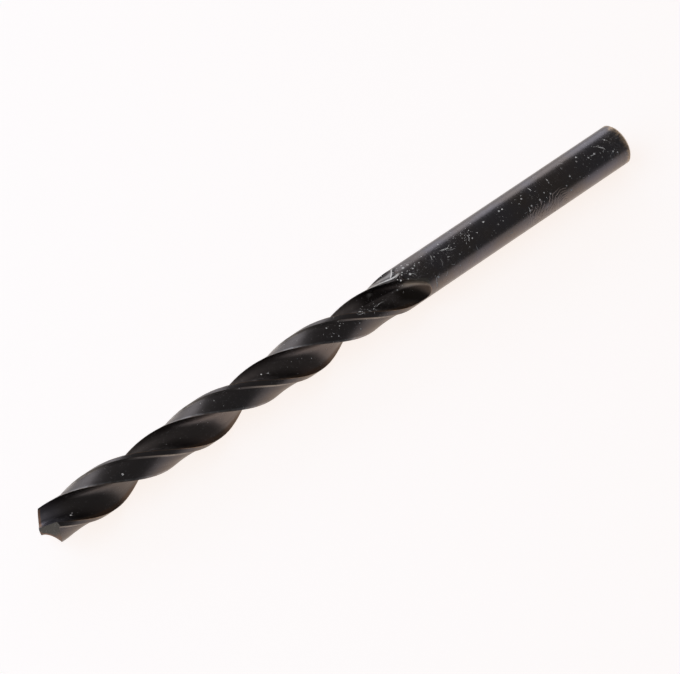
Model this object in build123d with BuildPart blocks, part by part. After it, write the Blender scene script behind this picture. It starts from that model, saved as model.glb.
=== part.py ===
from build123d import *
from math import asin, atan2, cos, degrees, pi, radians, sin, sqrt, tan
import os

os.makedirs("parts", exist_ok=True)

# The bit lies along X, its shank's end face at the origin and its point at -X. A cross-section
# is drawn with its first leading edge along local X, and angles run the way the helix turns.

# Overall sizes, in millimetres and degrees
overall_length = 91.0
body_diameter = 5.5
back_taper = 0.04
shank_diameter = 5.45
shank_edge_break = 0.3
flute_length = 58.0
flute_run_out = 5.5
helix_angle = 28.9
flute_count = 2
resting_turn = 104.7

# Web and lands
web_at_point = 0.95
web_at_run_out = 1.5
land_angle = 82.0
margin_width = 0.62
margin_step_width = 0.2
clearance_at_margin = 0.24
clearance_at_mid_land = 0.46
clearance_at_heel = 0.34
clearance_overrun_angle = 25.0
clearance_stops_short = 2.8
clearance_run_out = 1.2
clearance_lift_past_surface = 0.15

# Ground point: each flank is part of a cone whose axis leans towards the lip
point_angle = 118.0
grind_cone_angle = 92.0
grind_apex_past_axis = 2.4
grind_axis_ahead_of_lip = 0.1

# Cutters
cutter_overshoot = 0.6
station_turn = 24.0
run_out_stations = 8
face_points = 7

# Sizes that follow from them
body_radius = body_diameter / 2
body_back_radius = body_radius - back_taper / 2
shank_radius = shank_diameter / 2
cutter_radius = max(body_radius, shank_radius) + cutter_overshoot
heel_radius = body_radius - clearance_at_heel
clearance_radius = body_radius - clearance_at_margin
mid_land_radius = body_radius - clearance_at_mid_land
web_radius = web_at_point / 2
web_growth = (web_at_run_out - web_at_point) / 2
point_x = -overall_length
flute_end_x = point_x + flute_length
run_out_x = flute_end_x - flute_run_out
clearance_end_x = flute_end_x - clearance_stops_short
clearance_run_out_x = clearance_end_x - clearance_run_out
lead = pi * body_diameter / tan(radians(helix_angle))
lip_angle = radians(point_angle / 2)
margin_angle = degrees(margin_width / body_radius)
step_angle = degrees(margin_step_width / body_radius)

# A straight lip, screwed along the helix, makes the flute's face. It runs from the web, where it
# is tangent, to the leading corner of the next land.
lip_reach = sqrt(body_radius**2 - web_radius**2)
turn_per_reach = 2 * pi / (tan(lip_angle) * lead)
land_pitch = 2 * pi / flute_count
lip_direction = land_pitch + asin(web_radius / body_radius) + turn_per_reach * lip_reach
web_direction = lip_direction - pi / 2


def polar(radius, angle):
    """Point of a cross-section at the radius and the angle, in radians."""
    return Vector(radius * cos(angle), radius * sin(angle))


def face_point(reach):
    """Point of the flute's face that the lip cuts at the distance reach along it."""
    angle = lip_direction - atan2(web_radius, reach) - turn_per_reach * reach
    return polar(sqrt(web_radius**2 + reach**2), angle)


def cross_section(x, land):
    """Plane of the bit's cross-section at x, turned to the numbered land's leading edge."""
    angle = radians(resting_turn) + 2 * pi * (x - point_x) / lead + land * land_pitch
    return Plane(origin=(x, 0, 0), x_dir=(0, cos(angle), sin(angle)), z_dir=(1, 0, 0))


def stations(start_x, run_out_start_x, end_x):
    """Places along X of a cutter's sections: evenly turned, then round the run-out's arc."""
    turned = max(2, round((run_out_start_x - start_x) / lead * 360 / station_turn))
    straight = [start_x + (run_out_start_x - start_x) * i / turned for i in range(turned + 1)]
    quarter = [pi / 2 * (i + 1) / run_out_stations for i in range(run_out_stations)]
    return straight + [run_out_start_x + (end_x - run_out_start_x) * sin(a) for a in quarter]


def rise_out(x, run_out_start_x, end_x, depth):
    """Height that a cutter has risen at x, round a quarter of an ellipse."""
    along = min(max((x - run_out_start_x) / (end_x - run_out_start_x), 0), 1)
    return depth * (1 - sqrt(1 - along**2))


def web_thickening(x):
    """Height that the flute's floor has risen at x because the web thickens to the shank."""
    return web_growth * min(max((x - point_x) / (run_out_x - point_x), 0), 1)


# Grinding cone of a flank, from its apex on the far side of the bit's axis
grind_half_angle = radians(grind_cone_angle / 2)
grind_lean = lip_angle - grind_half_angle
apex_offset = web_radius + grind_axis_ahead_of_lip
apex_spread = sqrt(grind_apex_past_axis**2 + apex_offset**2)
quadratic_a = cos(grind_lean) ** 2 - cos(grind_half_angle) ** 2
quadratic_b = 2 * cos(grind_lean) * sin(grind_lean) * grind_apex_past_axis
quadratic_c = (sin(grind_lean) * grind_apex_past_axis) ** 2
quadratic_c -= (cos(grind_half_angle) * apex_spread) ** 2
apex_before_point = (
    sqrt(quadratic_b**2 - 4 * quadratic_a * quadratic_c) - quadratic_b
) / (2 * quadratic_a)
grind_reach = (overall_length + apex_before_point + grind_apex_past_axis) / cos(grind_lean)


def grinding_plane(land):
    """Plane through a flank's grinding cone, with its origin at the apex and X on its axis."""
    direction = radians(resting_turn) + lip_direction + land * land_pitch
    along_lip = Vector(0, cos(direction), sin(direction))
    across_lip = Vector(0, -sin(direction), cos(direction))
    apex = Vector(point_x - apex_before_point, 0, 0)
    apex -= along_lip * grind_apex_past_axis + across_lip * apex_offset
    axis = Vector(cos(grind_lean), 0, 0) + along_lip * sin(grind_lean)
    return Plane(origin=apex, x_dir=axis, z_dir=across_lip)


with BuildPart() as twist_drill:
    # Blank, ground round: its body tapers back a little from the point to the shank
    with BuildSketch(Plane.XZ):
        with BuildLine():
            Polyline(
                (point_x, 0),
                (point_x, body_radius),
                (flute_end_x, body_back_radius),
                (flute_end_x, shank_radius),
                (-shank_edge_break, shank_radius),
                (0, shank_radius - shank_edge_break),
                (0, 0),
                close=True,
            )
        make_face()
    revolve(axis=Axis.X)

    # Point, ground to one cone over each land
    for land in range(flute_count):
        cone_plane = grinding_plane(land)
        with BuildSketch(cone_plane):
            with BuildLine():
                Polyline(
                    (0, 0),
                    (grind_reach, 0),
                    (grind_reach, grind_reach * tan(grind_half_angle)),
                    close=True,
                )
            make_face()
        revolve(axis=Axis(cone_plane.origin, cone_plane.x_dir), mode=Mode.INTERSECT)

    # Body clearance, behind each land's margin. Its cutter's edges pass clear through the round
    # of the body and none lies on it.
    margin_edge = polar(body_radius, radians(margin_angle))
    step_foot = polar(clearance_radius, radians(margin_angle + step_angle))
    heel = polar(heel_radius, radians(land_angle))
    past_heel = polar(heel_radius, radians(land_angle + clearance_overrun_angle))
    crown = polar(mid_land_radius, radians(margin_angle + step_angle + land_angle) / 2)
    step_top = margin_edge + (margin_edge - step_foot).normalized() * cutter_overshoot
    crown_top = crown.normalized() * cutter_radius
    past_heel_top = past_heel.normalized() * cutter_radius
    clearance_depth = clearance_at_mid_land + clearance_lift_past_surface
    for land in range(flute_count):
        for x in stations(point_x - cutter_overshoot, clearance_run_out_x, clearance_end_x):
            lift = rise_out(x, clearance_run_out_x, clearance_end_x, clearance_depth)
            lifted = 1 + lift / mid_land_radius
            with BuildSketch(cross_section(x, land)):
                with BuildLine():
                    Line(step_top * lifted, step_foot * lifted)
                    ThreePointArc(step_foot * lifted, crown * lifted, heel * lifted)
                    Line(heel * lifted, past_heel * lifted)
                    Line(past_heel * lifted, past_heel_top * lifted)
                    ThreePointArc(past_heel_top * lifted, crown_top * lifted, step_top * lifted)
                make_face()
        loft(mode=Mode.SUBTRACT)

    # Flutes
    heel_out = polar(cutter_radius, radians(land_angle))
    full_reach = sqrt(cutter_radius**2 - web_radius**2)
    face = [face_point(full_reach * i / (face_points - 1)) for i in range(face_points)]
    floor_tangent = polar(-1, lip_direction)
    flute_depth = cutter_radius - web_radius - web_growth
    for land in range(flute_count):
        for x in stations(point_x - cutter_overshoot, run_out_x, flute_end_x):
            lift = web_thickening(x) + rise_out(x, run_out_x, flute_end_x, flute_depth)
            rise = polar(lift, web_direction)
            with BuildSketch(cross_section(x, land)):
                with BuildLine():
                    Spline(*[point + rise for point in face])
                    TangentArc(face[0] + rise, heel + rise, tangent=floor_tangent)
                    Line(heel + rise, heel_out + rise)
                    ThreePointArc(
                        heel_out + rise,
                        polar(cutter_radius, web_direction) + rise,
                        face[-1] + rise,
                    )
                make_face()
        loft(mode=Mode.SUBTRACT)

twist_drill.part.label = "twist_drill"
export_step(twist_drill.part, "parts/twist_drill.step")
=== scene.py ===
import math
import random

import bmesh
import bpy
from mathutils import Matrix, Quaternion, Vector
from mathutils.bvhtree import BVHTree


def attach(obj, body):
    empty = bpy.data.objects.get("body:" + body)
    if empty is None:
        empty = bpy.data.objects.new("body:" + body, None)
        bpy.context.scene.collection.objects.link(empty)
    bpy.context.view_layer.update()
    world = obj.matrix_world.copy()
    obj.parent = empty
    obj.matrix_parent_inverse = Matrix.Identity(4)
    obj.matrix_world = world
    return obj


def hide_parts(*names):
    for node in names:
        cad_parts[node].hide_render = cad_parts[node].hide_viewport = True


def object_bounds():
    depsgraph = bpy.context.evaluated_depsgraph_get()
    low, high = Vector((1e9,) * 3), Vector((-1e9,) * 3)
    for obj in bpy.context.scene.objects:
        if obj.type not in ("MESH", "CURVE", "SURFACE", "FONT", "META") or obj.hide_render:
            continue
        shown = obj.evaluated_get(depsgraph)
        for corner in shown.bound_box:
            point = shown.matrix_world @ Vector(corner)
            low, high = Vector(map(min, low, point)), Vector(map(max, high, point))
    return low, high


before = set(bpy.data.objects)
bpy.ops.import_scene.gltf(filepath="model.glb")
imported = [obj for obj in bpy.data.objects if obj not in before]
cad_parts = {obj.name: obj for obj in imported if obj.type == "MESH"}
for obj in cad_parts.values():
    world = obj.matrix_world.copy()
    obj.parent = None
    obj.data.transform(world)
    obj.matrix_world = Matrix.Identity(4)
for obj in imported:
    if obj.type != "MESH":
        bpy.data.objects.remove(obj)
cad_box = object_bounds()

# The drill bit: one piece of high-speed steel, with its flutes milled, its margins, lands and
# shank ground, and all of it blued black in steam. Its skin is the CAD part's own, joined so
# that the curves shade smoothly and only the true edges stay sharp.
SHARP_FROM = math.radians(24)
WELD_DISTANCE = 1e-7
bit = bpy.data.objects.new("drill_bit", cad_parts["twist_drill"].data.copy())
bpy.context.collection.objects.link(bit)
skin = bmesh.new()
skin.from_mesh(bit.data)
bmesh.ops.remove_doubles(skin, verts=skin.verts, dist=WELD_DISTANCE)
for face in skin.faces:
    face.smooth = True
for edge in skin.edges:
    edge.smooth = edge.calc_face_angle(0) < SHARP_FROM
skin.to_mesh(bit.data)
hull = BVHTree.FromBMesh(skin)
skin.free()


class Wire:
    """A number or colour on its way through a material. Arithmetic on it adds Math nodes."""

    def __init__(self, finish, out):
        self.finish = finish
        self.out = out

    def __abs__(self):
        return self.finish.maths("ABSOLUTE", self)

    def __add__(self, other):
        return self.finish.maths("ADD", self, other)

    def __radd__(self, other):
        return self.finish.maths("ADD", other, self)

    def __sub__(self, other):
        return self.finish.maths("SUBTRACT", self, other)

    def __rsub__(self, other):
        return self.finish.maths("SUBTRACT", other, self)

    def __mul__(self, other):
        return self.finish.maths("MULTIPLY", self, other)

    def __rmul__(self, other):
        return self.finish.maths("MULTIPLY", other, self)

    def __truediv__(self, other):
        return self.finish.maths("DIVIDE", self, other)

    def __rtruediv__(self, other):
        return self.finish.maths("DIVIDE", other, self)


class Finish:
    """A material under construction, with its one Principled shader."""

    def __init__(self, name, **constants):
        self.material = bpy.data.materials.new(name)
        self.material.use_nodes = True
        self.tree = self.material.node_tree
        self.shader = self.tree.nodes["Principled BSDF"]
        for socket, value in constants.items():
            self.shader.inputs[socket.replace("_", " ")].default_value = value

    def node(self, kind, settings, sockets, out=0):
        """Any node: its settings or a ramp's stops first, then its sockets' values or links."""
        made = self.tree.nodes.new(kind)
        for setting, value in settings.items():
            if setting == "stops":
                ramp = made.color_ramp.elements
                while len(ramp) < len(value):
                    ramp.new(1)
                for stop, (position, colour) in zip(ramp, value):
                    stop.position = position
                    stop.color = colour
            else:
                setattr(made, setting, value)
        for socket, value in sockets.items():
            if isinstance(value, Wire):
                self.tree.links.new(value.out, made.inputs[socket])
            else:
                made.inputs[socket].default_value = value
        return Wire(self, made.outputs[out])

    def feed(self, socket, value):
        self.tree.links.new(value.out, self.shader.inputs[socket])

    def maths(self, operation, *values):
        """Math node on the values, in their order."""
        return self.node("ShaderNodeMath", {"operation": operation}, dict(enumerate(values)))

    def strongest(self, *masks):
        """The strongest of some masks, spot by spot."""
        top = masks[0]
        for mask in masks[1:]:
            top = self.maths("MAXIMUM", top, mask)
        return top

    def rise(self, value, low, high):
        """0 below low and 1 above high, with a smooth rise between."""
        return self.node(
            "ShaderNodeMapRange",
            {"interpolation_type": "SMOOTHSTEP"},
            {"Value": value, "From Min": low, "From Max": high},
        )

    def fall(self, value, low, high):
        """1 below low and 0 above high."""
        return 1.0 - self.rise(value, low, high)

    def band(self, value, reach):
        """1 inside a reach, which says where a mark begins, is full, starts to fade and ends."""
        begins, full, fades, ends = reach
        return self.rise(value, begins, full) * self.fall(value, fades, ends)

    def grain(self, vector, scale, detail=2.0, roughness=0.5):
        """Even noise between about 0.2 and 0.8."""
        return self.node(
            "ShaderNodeTexNoise",
            {},
            {"Vector": vector, "Scale": scale, "Detail": detail, "Roughness": roughness},
        )

    def place(self, x, y, z):
        return self.node("ShaderNodeCombineXYZ", {}, {0: x, 1: y, 2: z})

    def parts(self, coordinates):
        """X, Y and Z of Texture Coordinate's named output. Object places are in metres."""
        vector = self.node("ShaderNodeTexCoord", {}, {}, coordinates)
        return [self.node("ShaderNodeSeparateXYZ", {}, {0: vector}, axis) for axis in range(3)]

    def bend(self, reach):
        """How much the skin turns within a reach in metres: 0 where it is flat, more by an edge."""
        soft = self.node("ShaderNodeBevel", {"samples": 8}, {"Radius": reach})
        true = self.node("ShaderNodeNewGeometry", {}, {}, "Normal")
        agree = self.node(
            "ShaderNodeVectorMath", {"operation": "DOT_PRODUCT"}, {0: soft, 1: true}, "Value"
        )
        return 1.0 - agree

    def blend(self, amount, first, second):
        """Colour from the first to the second."""
        sockets = {0: amount, 6: first, 7: second}
        return self.node("ShaderNodeMix", {"data_type": "RGBA"}, sockets, 2)


# Sizes that the finish follows, in millimetres and degrees. A place round a land is a share of
# the way from one leading edge to the next.
METRE = 1000.0
POINT_X = -91.0
FLUTES_END = -33.0
BODY_RADIUS = 2.75
MID_LAND_RADIUS = 2.29
HELIX_ANGLE = 28.9
RESTING_TURN = 104.7
LANDS = 2
LEAD = 2 * math.pi * BODY_RADIUS / math.tan(math.radians(HELIX_ANGLE))
LAND_PITCH = 360 / LANDS
MARGIN_END = 12.9 / LAND_PITCH
STEP_END = 17.1 / LAND_PITCH
HEEL = 82.0 / LAND_PITCH

# Where a spot of the skin lies: along, across and above the axis, its distance from the axis,
# and its place round a land as the helix goes
steel = Finish("black_oxide_steel")
along, across, above = (metres * METRE for metres in steel.parts("Object"))
millimetres = steel.place(along, across, above)
from_point = along - POINT_X
from_end = along - FLUTES_END
radius = steel.maths("SQRT", across * across + above * above)
turn = steel.maths("ARCTAN2", above, across) / (2 * math.pi)
wound = (turn - RESTING_TURN / 360 - from_point / LEAD) * LANDS
round_land = steel.maths("FRACT", wound)
facing_point = steel.parts("Normal")[0] * -1.0

# Which surface the spot is on. The count round a land starts anew by the leading edge, where it
# wavers, so the strip of the flute's face before that edge is found with the start moved on.
START_MOVED_ON = 0.05
STRIP_BY_LEAD = (0.83, 0.9, 0.962, 0.97)
on_shank = steel.rise(from_end, -0.4, 0.0)
off_shank = 1.0 - on_shank
to_shank = steel.rise(from_end, -5.0, 3.0)
at_point = steel.fall(from_point, 1.5, 4.0)
near_point = steel.fall(from_point, 1.0, 5.0)
behind_heel = steel.rise(round_land, HEEL - 0.002, HEEL + 0.004)
below_skin = steel.fall(radius, BODY_RADIUS - 0.08, BODY_RADIUS - 0.04)
below_lands = steel.fall(radius, MID_LAND_RADIUS - 0.05, MID_LAND_RADIUS - 0.01)
behind_margin = steel.rise(round_land, MARGIN_END, STEP_END)
on_margin = (1.0 - behind_margin) * off_shank
on_flank = steel.rise(facing_point, 0.5, 0.7) * steel.fall(from_point, 1.8, 2.4)
off_flank = 1.0 - on_flank
by_lead = steel.band(steel.maths("FRACT", wound - START_MOVED_ON), STRIP_BY_LEAD) * below_skin
in_flute = steel.strongest(below_lands, behind_heel * below_skin, by_lead) * off_flank * off_shank

# Blueing: near black, with a bluish and a purple-brown cast that drift along the bit. The ground
# lands are darker and browner than the shank, with a painted sheen of the table that makes them
# lighter and warmer low down. The milled hollows are bluish at the point and darkest just behind it.
BLUISH = (0.168, 0.154, 0.168, 1)
PURPLE_BROWN = (0.176, 0.149, 0.14, 1)
LAND_PAINTED_SHEEN_BELOW = (0.162, 0.137, 0.124, 1)
LAND_ON_TOP = (0.125, 0.112, 0.112, 1)
HOLLOW_AT_POINT = (0.2, 0.19, 0.22, 1)
HOLLOW_BEHIND_POINT = (0.122, 0.108, 0.105, 1)
HOLLOW = (0.158, 0.136, 0.131, 1)
GROUND_FLANK = (0.08, 0.08, 0.078, 1)
drift = steel.grain(millimetres, 0.22, 3.0)
cast = steel.blend(steel.rise(drift, 0.36, 0.64), BLUISH, PURPLE_BROWN)
# Painted sheen: the lands are lighter and warmer low down, darker on top
ground = steel.blend(steel.rise(above, -0.6, 1.3), LAND_PAINTED_SHEEN_BELOW, LAND_ON_TOP)
milled = steel.blend(steel.rise(from_point, 11.0, 21.0), HOLLOW_BEHIND_POINT, HOLLOW)
milled = steel.blend(near_point, milled, HOLLOW_AT_POINT)
colour = steel.blend((1.0 - to_shank) * 0.85, cast, ground)
colour = steel.blend(in_flute * 0.9, colour, milled)
colour = steel.blend(on_flank, colour, GROUND_FLANK)

# Worn edges: behind the point the blueing is rubbed to brown along every true edge, in patches
EDGE_REACH = 0.00022
EDGE_BROWN = (0.34, 0.23, 0.15, 1)
patches = steel.rise(steel.grain(millimetres, 1.3, 3.0), 0.35, 0.6)
worn_edge = steel.rise(steel.bend(EDGE_REACH), 0.03, 0.14) * (1.0 - at_point)
worn_edge = worn_edge * (0.5 + patches * 0.45)
colour = steel.blend(worn_edge, colour, EDGE_BROWN)

# Ground step behind each margin: a painted highlight shows as a pale line along the land, and the
# step is painted dark where it crosses the top of the bit
STEP_REACH = (MARGIN_END - 0.016, MARGIN_END + 0.004, STEP_END, STEP_END + 0.018)
STEP_PAINTED_HIGHLIGHT = (0.37, 0.33, 0.3, 1)
STEP_PAINTED_DARK_ON_TOP = (0.1, 0.09, 0.088, 1)
step_highlight = steel.band(round_land, STEP_REACH) * off_shank * off_flank * (0.55 + patches * 0.45)
step_painted_colour = steel.blend(steel.rise(above, 1.3, 2.5), STEP_PAINTED_HIGHLIGHT, STEP_PAINTED_DARK_ON_TOP)
colour = steel.blend(step_highlight, colour, step_painted_colour)

# Rubbed heels, grey from the chips and painted lighter as sheen where the lands' highlight falls, and
# the brown strip of the flutes' faces by the lead
HEEL_RUB_REACH = (0.4, 0.435, 0.455, 0.459)
HEEL_GREY_AND_SHEEN = (0.31, 0.3, 0.31, 1)
LEAD_BROWN = (0.115, 0.07, 0.045, 1)
heel_rub_and_sheen = steel.band(round_land, HEEL_RUB_REACH) * steel.fall(from_end, -7.5, -6.5)
heel_rub_and_sheen = heel_rub_and_sheen * steel.rise(radius, MID_LAND_RADIUS + 0.01, MID_LAND_RADIUS + 0.07)
colour = steel.blend(heel_rub_and_sheen * (0.3 + patches * 0.5), colour, HEEL_GREY_AND_SHEEN)
lead_rub = in_flute * by_lead * steel.rise(radius, 1.98, 2.35)
colour = steel.blend(lead_rub * 0.9, colour, LEAD_BROWN)

# Tempered point: heat and use have browned the heel side of the flutes just behind the flanks,
# the flanks' edges behind the lips, and the flanks' outer corners
SCORCH_REACH = 0.00055
FLANK_FALL_PER_RADIUS = 0.6
BEHIND_LIP = (0.12, 0.2, 0.6, 0.75)
OUTER_CORNER = (0.2, 0.34, 0.46, 0.5)
TEMPER_BROWN = (0.31, 0.18, 0.125, 1)
land_side = behind_margin * (1.0 - behind_heel) * steel.rise(radius, 1.9, 2.3)
past_flank = from_point - radius * FLANK_FALL_PER_RADIUS
heel_side = steel.fall(past_flank, 0.22, 0.45) * in_flute * steel.fall(round_land, 0.6, 0.75)
flank_edge = steel.rise(steel.bend(SCORCH_REACH), 0.0015, 0.025) * (1.0 - land_side)
flank_edge = flank_edge * on_flank * steel.band(round_land, BEHIND_LIP)
corner = on_flank * steel.rise(radius, 1.5, 2.3) * steel.band(round_land, OUTER_CORNER)
scorch = steel.strongest(flank_edge, heel_side, corner * 0.5) * at_point
colour = steel.blend(scorch, colour, TEMPER_BROWN)

# Run-out of the flutes: chips have polished the wall of each flute's end, and the hollow beside it
# is painted black as its shade
WALL_ROUND = (0.455, 0.485, 0.555, 0.62)
WALL_GREY = (0.25, 0.225, 0.2, 1)
PIT_ROUND = (0.575, 0.64, 0.9, 0.96)
PIT_PAINTED_SHADE = (0.06, 0.048, 0.042, 1)
wall = steel.rise(from_end, -4.0, -2.2) * steel.band(round_land, WALL_ROUND) * off_shank
colour = steel.blend(wall, colour, WALL_GREY)
pit_shade = steel.rise(from_end, -5.0, -3.4) * steel.band(round_land, PIT_ROUND) * off_shank * below_skin
colour = steel.blend(pit_shade, colour, PIT_PAINTED_SHADE)

# Run-out of the body clearance: it ends slantwise over the land, in a bright line and a wall that
# is painted black as its shade
CLEARANCE_END = -3.7
CLEARANCE_END_ROUND = 0.321
CLEARANCE_END_SLANT = 5.7
END_LINE_ROUND = (0.13, 0.16, 0.32, 0.34)
END_WALL_ALONG = (0.05, 0.12, 0.4, 0.55)
END_WALL_ROUND = (0.13, 0.16, 0.35, 0.38)
END_WALL_PAINTED_SHADE = (0.04, 0.036, 0.036, 1)
past_end = from_end - CLEARANCE_END - (CLEARANCE_END_ROUND - round_land) * CLEARANCE_END_SLANT
end_line = steel.fall(abs(past_end), 0.04, 0.12) * steel.band(round_land, END_LINE_ROUND)
end_wall_shade = steel.band(past_end, END_WALL_ALONG) * steel.band(round_land, END_WALL_ROUND)
colour = steel.blend(end_wall_shade * off_shank, colour, END_WALL_PAINTED_SHADE)

# Rubbed heel at the run-out: a bright line that the chips have cut, which drifts round with the
# heel, the heel's wall in shade under it, and the clearance's slope in shade down to its foot
RUB_ALONG = (-7.4, -6.4, -3.2, -2.4)
RUB_START = -6.8
RUB_ROUND = 0.41
RUB_DRIFT = 0.0164
HEEL_WALL_ALONG = (-9.5, -7.5, -3.8, -2.6)
HEEL_WALL_ROUND = (0.38, 0.42, 0.5, 0.56)
SLOPE_ALONG = (-5.6, -4.8, -3.4, -2.8)
SLOPE_ROUND = (0.03, 0.06, 0.14, 0.18)
SLOPE_FOOT_ROUND = (0.17, 0.21, 0.26, 0.3)
SHADE_BLACK = (0.045, 0.037, 0.036, 1)
BARE_STEEL = (0.75, 0.73, 0.71, 1)
past_rub = round_land - RUB_ROUND + (from_end - RUB_START) * RUB_DRIFT
by_rub = steel.band(from_end, RUB_ALONG)
rub_line = by_rub * steel.fall(abs(past_rub), 0.01, 0.026)
rub_shade = by_rub * steel.rise(past_rub, 0.014, 0.026) * steel.fall(round_land, 0.47, 0.5)
heel_wall = steel.band(from_end, HEEL_WALL_ALONG) * steel.band(round_land, HEEL_WALL_ROUND)
by_slope = steel.band(from_end, SLOPE_ALONG)
slope = by_slope * steel.band(round_land, SLOPE_ROUND)
slope_foot = by_slope * steel.band(round_land, SLOPE_FOOT_ROUND)
shade = steel.strongest(rub_shade, heel_wall * in_flute, slope)
colour = steel.blend(shade, colour, SHADE_BLACK)
bright_line = steel.strongest(rub_line, end_line, slope_foot * 0.3) * off_shank
colour = steel.blend(bright_line, colour, BARE_STEEL)

# Rim of the shank's end: struck and dragged until it shows golden brown
RIM_BROWN = (0.7, 0.5, 0.33, 1)
drags = steel.grain(steel.place(along * 0.8, across * 1.9, above * 1.9), 1.0, 5.0, 0.7)
rim = steel.rise(along + drags * 2.2, 0.1, 0.95) * steel.rise(radius, 1.9, 2.5)
colour = steel.blend(rim * 0.9, colour, RIM_BROWN)

# Dust film: a fine grey bloom, thickest where the flutes run out and at the shank's end
THICKEST_DUST = -1.0
DUST_GREY = (0.3, 0.29, 0.3, 1)
near_run_out = steel.fall(abs(from_end - THICKEST_DUST), 2.0, 12.0)
near_shank_end = steel.rise(along, -4.5, -0.6)
speckle = steel.grain(millimetres, 5.5, 2.0, 0.6)
clouds = steel.grain(millimetres, 0.5, 2.0)
bloom = speckle + clouds * 0.25 + near_run_out * 0.05 + near_shank_end * 0.1
# The dust film thins where the hollow at the run-out is painted in shade
bloom = steel.rise(bloom, 0.76, 0.86) * (1.0 - pit_shade * 0.9)
colour = steel.blend(bloom * 0.5, colour, DUST_GREY)
steel.feed("Base Color", colour)

# These marks scatter light, so they are less metallic than the blueing
marked = (bloom * 0.6, rim * 0.7, scorch * 0.6, bright_line * 0.5, lead_rub * 0.4)
steel.feed("Metallic", 1.0 - steel.strongest(*marked))

# Grinding runs round the shank, milling and grinding along the helix in the flutes and lands
rings = steel.grain(steel.place(along * 9.0, across * 0.3, above * 0.3), 1.0, 3.0)
streaks = steel.grain(steel.place(round_land * 70.0, radius * 1.5, along * 0.12), 1.0, 3.0)
lay = steel.node("ShaderNodeMix", {"data_type": "FLOAT"}, {0: on_shank, 2: streaks, 3: rings})
frost = steel.grain(millimetres, 14.0, 3.0, 0.7)
roughness = 0.39 - to_shank * 0.09 - on_margin * 0.03 + bloom * 0.2
roughness = roughness + (lay - 0.5) * (0.42 - to_shank * 0.16)
steel.feed("Roughness", roughness + (frost - 0.5) * 0.12)

# Rubbed place: shallow crescent scuffs, low on the side of the shank that faces the front
SCUFFS_X = -13.9
SWIRLS_X = -11.0
SCUFF_DEPTH = 23.0
RELIEF_HEIGHT = 0.00002
swirls = steel.node(
    "ShaderNodeTexWave",
    {"wave_type": "RINGS", "rings_direction": "Y"},
    {
        "Vector": steel.place(along - SWIRLS_X, across, above * 1.4),
        "Scale": 0.68,
        "Distortion": 11.0,
        "Detail": 2.0,
        "Detail Scale": 0.9,
    },
)
rubbed_along = steel.fall(abs(along - SCUFFS_X), 1.6, 3.6)
rubbed_round = steel.rise(across * -1.0, 1.7, 2.2) * steel.rise(above, -1.2, -0.4)
in_places = steel.rise(steel.grain(millimetres, 0.9, 2.0), 0.36, 0.5)
scuffs = steel.rise(swirls, 0.55, 0.95) * rubbed_along * rubbed_round * in_places
relief = {
    "Strength": 0.35,
    "Distance": RELIEF_HEIGHT,
    "Height": lay * 0.5 + frost * 0.5 - scuffs * SCUFF_DEPTH,
}
steel.feed("Normal", steel.node("ShaderNodeBump", {}, relief))

bit.data.materials.clear()
bit.data.materials.append(steel.material)
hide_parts("twist_drill")
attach(bit, "root")

# Dust and lint: pale grit, fluff and short hairs that cling to the steel, thickest where the
# flutes run out. Each lies on the skin as its own small flake or hair, half sunk in the film.
random.seed(11)

# In metres, as the meshes are
FLAKE_HEIGHT = 0.00001
SEARCH_RADIUS = 0.004
MARGIN_RADIUS = 0.00273

# In millimetres
SHANK_RADIUS = 2.725

# A hair is a chain of flattened links, each a little longer than its step along the skin
HAIR_LINKS = 9
LINK_FLATNESS = 0.35
LINK_OVERLAP = 1.15
STRAY_HAIRS = 30


def new_piece(name, shape):
    """Object in the scene from a bmesh, which is used up."""
    piece = bpy.data.objects.new(name, bpy.data.meshes.new(name))
    shape.to_mesh(piece.data)
    shape.free()
    bpy.context.collection.objects.link(piece)
    return piece


def on_skin(x, angle):
    """Spot on the skin and its normal, from millimetres along the bit and degrees from +Y."""
    out = Vector((0, math.cos(math.radians(angle)), math.sin(math.radians(angle))))
    start = Vector((x / METRE, 0, 0)) + out * SEARCH_RADIUS
    spot, normal, _, _ = hull.ray_cast(start, -out)
    return spot, normal


def laid(spot, side, normal, onward, flatness):
    """Place of a small shape on the skin: across, out of the skin and onward."""
    columns = Matrix((side, normal * flatness, onward)).transposed().to_4x4()
    return Matrix.Translation(spot) @ columns


def strew(shape, count, start, end, low_angle, high_angle, size):
    """Flakes over a stretch of the skin, most of them small. The ground margins stay clean."""
    for _ in range(count):
        spot, normal = on_skin(random.uniform(start, end), random.uniform(low_angle, high_angle))
        if spot is None or math.hypot(spot.y, spot.z) > MARGIN_RADIUS:
            continue
        flake_radius = size * (0.2 + 0.8 * random.random() ** 2.5) / METRE
        side = normal.orthogonal().normalized()
        side.rotate(Matrix.Rotation(random.uniform(0, 6.28), 3, normal))
        onward = normal.cross(side) * random.uniform(0.5, 1.0)
        flake = bmesh.ops.create_icosphere(shape, subdivisions=1, radius=flake_radius)["verts"]
        place = laid(spot, side, normal, onward, FLAKE_HEIGHT / flake_radius)
        bmesh.ops.transform(shape, matrix=place, verts=flake)


def fleck(shape, x, angle, width):
    """One larger round fleck on the skin, as wide as given."""
    spot, normal = on_skin(x, angle)
    side = normal.orthogonal().normalized()
    flake_radius = width / 2 / METRE
    flake = bmesh.ops.create_icosphere(shape, subdivisions=2, radius=flake_radius)["verts"]
    place = laid(spot, side, normal, normal.cross(side), FLAKE_HEIGHT / flake_radius)
    bmesh.ops.transform(shape, matrix=place, verts=flake)


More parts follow.
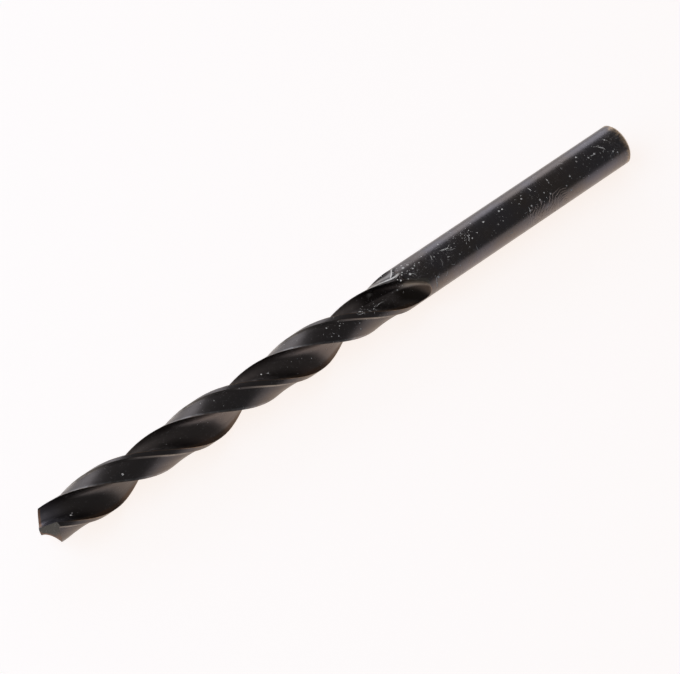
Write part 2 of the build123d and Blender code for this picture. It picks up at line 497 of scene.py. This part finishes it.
def hair(shape, x, angle, heading, length, curl, width):
    """Hair on the skin from a spot, its heading in degrees from +X, curling as it goes."""
    stride = length / HAIR_LINKS
    last, _ = on_skin(x, angle)
    for number in range(HAIR_LINKS):
        heading_now = math.radians(heading + curl * number / HAIR_LINKS)
        x += stride * math.cos(heading_now)
        angle += math.degrees(stride * math.sin(heading_now) / SHANK_RADIUS)
        spot, normal = on_skin(x, angle)
        onward = spot - last
        side = normal.cross(onward).normalized()
        taper = 1 - 0.6 * abs(2 * (number + 0.5) / HAIR_LINKS - 1)
        link = bmesh.ops.create_cone(
            shape,
            cap_ends=True,
            segments=4,
            radius1=width * taper / 2 / METRE,
            radius2=width * taper / 2 / METRE,
            depth=onward.length * LINK_OVERLAP,
        )["verts"]
        place = laid((spot + last) / 2, side, normal, onward.normalized(), LINK_FLATNESS)
        bmesh.ops.transform(shape, matrix=place, verts=link)
        last = spot


# Grit: stretches as count, start, end, low angle, high angle and size, and then the larger
# flecks as place along the bit, angle and width
grit = bmesh.new()
for stretch in (
    (330, -32.0, -0.4, 0, 360, 0.085),
    (230, -48.0, -32.0, 0, 360, 0.08),
    (190, -68.0, -48.0, 0, 360, 0.08),
    (25, -90.0, -68.0, 0, 360, 0.07),
    (40, -37.4, -33.4, 58, 112, 0.1),
    (70, -33.5, -24.0, 70, 130, 0.1),
    (24, -26.4, -25.2, 88, 116, 0.1),
    (40, -18.5, -12.0, 88, 150, 0.11),
    (30, -7.0, -1.5, 80, 140, 0.11),
    (60, -48.0, -40.0, 80, 140, 0.1),
    (9, -36.6, -33.9, 58, 108, 0.18),
    (16, -43.4, -40.2, 60, 132, 0.14),
):
    strew(grit, *stretch)
for place_and_width in (
    (-34.8, 73, 0.32), (-34.1, 73, 0.3), (-34.8, 101, 0.34), (-36.2, 100, 0.26), (-35.7, 90, 0.2),
    (-34.6, 61, 0.24), (-35.4, 109, 0.16), (-34.0, 93, 0.18), (-35.4, 84, 0.2), (-33.6, 88, 0.16),
    (-4.9, 109, 0.26), (-5.9, 109, 0.2), (-2.5, 131, 0.28), (-2.0, 140, 0.2), (-2.5, 93, 0.22),
    (-7.1, 88, 0.24), (-7.5, 99, 0.2), (-9.5, 122, 0.22), (-10.1, 156, 0.24), (-10.5, 138, 0.18),
    (-16.7, 100, 0.24), (-16.1, 130, 0.24), (-14.7, 130, 0.26), (-13.0, 132, 0.24), (-16.6, 139, 0.2),
    (-13.7, 120, 0.18), (-22.7, 94, 0.26), (-20.1, 93, 0.24), (-19.6, 94, 0.24), (-21.3, 122, 0.18),
    (-20.0, 163, 0.18), (-29.2, 73, 0.22), (-31.8, 149, 0.28), (-28.4, 158, 0.16),
    (-87.0, 143, 0.26), (-86.7, 139, 0.14), (-79.4, 115, 0.28), (-57.2, 39, 0.2), (-56.5, 69, 0.16),
    (-47.8, 122, 0.16), (-43.9, 154, 0.16),
):
    fleck(grit, *place_and_width)
grit_piece = new_piece("grit", grit)

# Lint: hairs laid one by one, as place along the bit, angle, heading, length, curl and width,
# and then the stray ones
lint = bmesh.new()
for fibre in (
    (-29.6, 96, 25, 1.5, -70, 0.07),
    (-28.9, 104, 35, 1.0, -40, 0.05),
    (-30.4, 112, 80, 0.9, 60, 0.05),
    (-25.6, 98, 70, 0.9, 90, 0.07),
    (-32.3, 178, -85, 1.5, 4, 0.15),
    (-31.3, 101, -65, 0.7, -10, 0.06),
    (-29.8, 93, 5, 1.5, 45, 0.07),
    (-34.9, 100, 10, 1.0, 80, 0.06),
    (-43.6, 108, 60, 1.1, -80, 0.06),
    (-42.8, 122, -60, 1.0, -60, 0.06),
    (-41.4, 118, 90, 0.9, 40, 0.06),
    (-40.2, 126, -40, 1.3, 80, 0.05),
    (-15.0, 84, 75, 0.6, 10, 0.12),
    (-12.3, 91, 80, 0.5, 20, 0.12),
    (-3.9, 99, 40, 0.9, 20, 0.12),
    (-2.7, 84, 60, 0.8, 0, 0.07),
    (-5.6, 107, 25, 0.9, -50, 0.07),
    (-4.3, 90, 60, 0.8, -90, 0.06),
    (-16.6, 128, 75, 0.8, 50, 0.07),
):
    hair(lint, *fibre)
for _ in range(STRAY_HAIRS):
    hair(
        lint,
        random.uniform(-31.5, -1.8),
        random.uniform(0, 360),
        random.uniform(0, 360),
        random.uniform(0.3, 0.9),
        random.uniform(-110, 110),
        random.uniform(0.025, 0.05),
    )
lint_piece = new_piece("lint", lint)

# Both are matt, from grey-brown grit to white fluff
DUST_STOPS = [
    (0.25, (0.4, 0.36, 0.34, 1)),
    (0.42, (0.75, 0.73, 0.74, 1)),
    (0.55, (1.0, 1.0, 1.0, 1)),
]
fluff = Finish("pale_dust", Roughness=0.85)
kinds = fluff.grain(fluff.node("ShaderNodeTexCoord", {}, {}, "Object"), 3000.0, 1.0)
fluff.feed("Base Color", fluff.node("ShaderNodeValToRGB", {"stops": DUST_STOPS}, {"Fac": kinds}))
for piece in (grit_piece, lint_piece):
    piece.data.materials.append(fluff.material)
    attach(piece, "root")

# The table: a plain white sheet, which the bit's margins and shank rest on. Most of its white is
# its own glow, so the bit's shadow stays faint and warm. Its glow is also a painted reflection: seen
# in the steel, it glows brighter and warmer close beside the bit than farther off.
TABLE_HALF_WIDTH = 3.0
SHEET_TINT = (0.13, 0.27, 0.41, 1)
SHEET_GLOW = (0.935, 0.85, 0.795, 1)
MIRRORED_BESIDE = (1.0, 0.85, 0.72, 1)
MIRRORED_FAR = (0.62, 0.55, 0.5, 1)
NO_GLOW = (0, 0, 0, 1)
floor_shape = bmesh.new()
bmesh.ops.create_grid(floor_shape, x_segments=1, y_segments=1, size=TABLE_HALF_WIDTH)
bmesh.ops.translate(floor_shape, verts=floor_shape.verts, vec=(0, 0, cad_box[0][2]))
table = new_piece("table", floor_shape)
paper = Finish(
    "white_paper",
    Base_Color=SHEET_TINT,
    Roughness=1.0,
    Specular_IOR_Level=0.0,
    Emission_Strength=1.0,
)
seen = paper.node("ShaderNodeLightPath", {}, {}, "Is Camera Ray")
mirrored = paper.node("ShaderNodeLightPath", {}, {}, "Is Glossy Ray")
aside = abs(paper.parts("Object")[1])
reflection = paper.blend(paper.rise(aside, 0.004, 0.015), MIRRORED_BESIDE, MIRRORED_FAR)
glow = paper.blend(seen, reflection, SHEET_GLOW)
paper.feed("Emission Color", paper.blend(paper.strongest(seen, mirrored), NO_GLOW, glow))
table.data.materials.append(paper.material)

# Light: a broad soft box to the left, with a fill behind it that the steel doesn't mirror, a low
# box at the back, and a dim room
MIDDLE = Vector((-0.045, 0, 0))
FROM_LEFT = Vector((-0.75, 0.25, 0.62))
FROM_BEHIND = Vector((0.25, 0.95, 0.24))
DAYLIGHT = (1.0, 0.99, 0.98)
COOL_DAYLIGHT = (0.92, 0.95, 1.0)
ROOM_WHITE = (1, 1, 1, 1)
ROOM_STRENGTH = 0.1


def soft_box(name, towards, distance, width, height, radiance, colour, in_mirror=True):
    """Area light of a plain radiance, aimed at the middle of the bit."""
    lamp = bpy.data.lights.new(name, "AREA")
    lamp.shape = "RECTANGLE"
    lamp.size = width
    lamp.size_y = height
    lamp.energy = radiance * math.pi * width * height
    lamp.color = colour
    holder = bpy.data.objects.new(name, lamp)
    offset = towards.normalized() * distance
    holder.location = MIDDLE + offset
    holder.rotation_euler = offset.to_track_quat("Z", "Y").to_euler()
    holder.visible_glossy = in_mirror
    bpy.context.collection.objects.link(holder)


soft_box("left_box", FROM_LEFT, 0.6, 0.7, 0.7, 0.55, DAYLIGHT)
soft_box("left_fill", FROM_LEFT, 0.62, 0.7, 0.7, 0.8, DAYLIGHT, in_mirror=False)
soft_box("back_box", FROM_BEHIND, 0.6, 1.3, 0.36, 1.25, COOL_DAYLIGHT)
room = bpy.data.worlds.new("room")
room.use_nodes = True
room.node_tree.nodes["Background"].inputs["Color"].default_value = ROOM_WHITE
room.node_tree.nodes["Background"].inputs["Strength"].default_value = ROOM_STRENGTH
bpy.context.scene.world = room

# Camera: it looks down on the lying bit from beyond its point, as the photograph does, with the
# middle of the bit a little off the middle of the picture
VIEW = Vector((-0.386, -0.460, 0.800)).normalized()
RIGHT = Vector((0.766, -0.643, 0)).normalized()
UP = VIEW.cross(RIGHT)
CAMERA_DISTANCE = 0.4483
AIM_LEFT = 0.000365
AIM_DOWN = 0.001079
ROLL = math.radians(-0.119)
SENSOR_WIDTH = 36
PICTURE_WIDTH_IN_PIXELS = 680
FOCAL_LENGTH_IN_PIXELS = 3712
NEAREST_SEEN = 0.01
eye = bpy.data.cameras.new("camera")
eye.sensor_fit = "HORIZONTAL"
eye.sensor_width = SENSOR_WIDTH
eye.lens = SENSOR_WIDTH * FOCAL_LENGTH_IN_PIXELS / PICTURE_WIDTH_IN_PIXELS
eye.clip_start = NEAREST_SEEN
camera = bpy.data.objects.new("camera", eye)
aim = MIDDLE - RIGHT * AIM_LEFT - UP * AIM_DOWN
camera.location = aim + VIEW * CAMERA_DISTANCE
roll = Quaternion((0, 0, 1), ROLL)
camera.rotation_euler = (VIEW.to_track_quat("Z", "Y") @ roll).to_euler()
bpy.context.collection.objects.link(camera)
bpy.context.scene.camera = camera
bpy.context.scene.view_settings.view_transform = "Standard"
